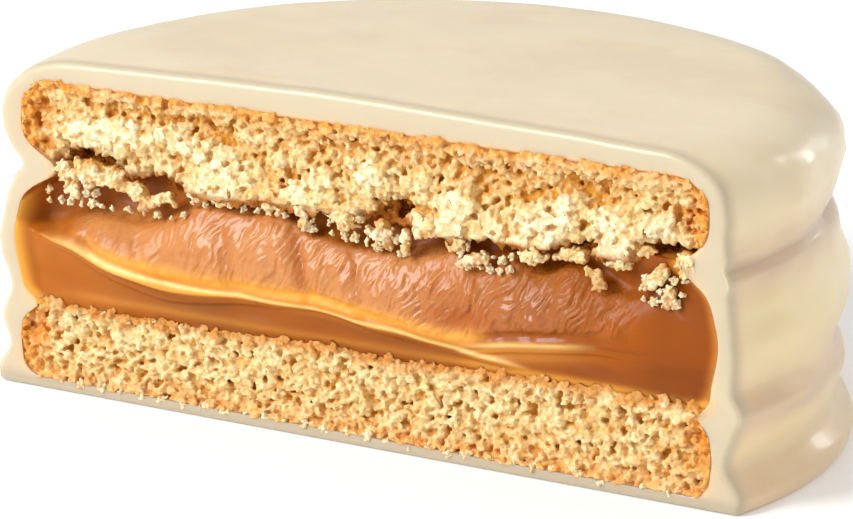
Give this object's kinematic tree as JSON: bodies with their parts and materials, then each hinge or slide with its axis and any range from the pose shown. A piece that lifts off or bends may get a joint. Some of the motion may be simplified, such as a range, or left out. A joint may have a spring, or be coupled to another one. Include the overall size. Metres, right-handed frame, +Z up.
{
  "type": "half of a white-coated alfajor cookie",
  "caption": "Cut piece of a round sandwich cookie: two crumbly shortbread layers, a thick caramel filling and a white chocolate coating.",
  "frame": {"origin": "middle of the object's box, on the underside of the coating, which is the plane it stands on", "axes": "+Z up through the layers, +X along the knife's cut, -Y out of the cut face towards the viewer"},
  "size_m": [0.06, 0.0382, 0.0241],
  "materials": {
    "white_coating": null,
    "cookie_crumb": null,
    "caramel": null
  },
  "bodies": {
    "root": {"coating": "white_coating", "top_cookie": "cookie_crumb", "filling": "caramel", "bottom_cookie": "cookie_crumb"}
  },
  "joints": []
}
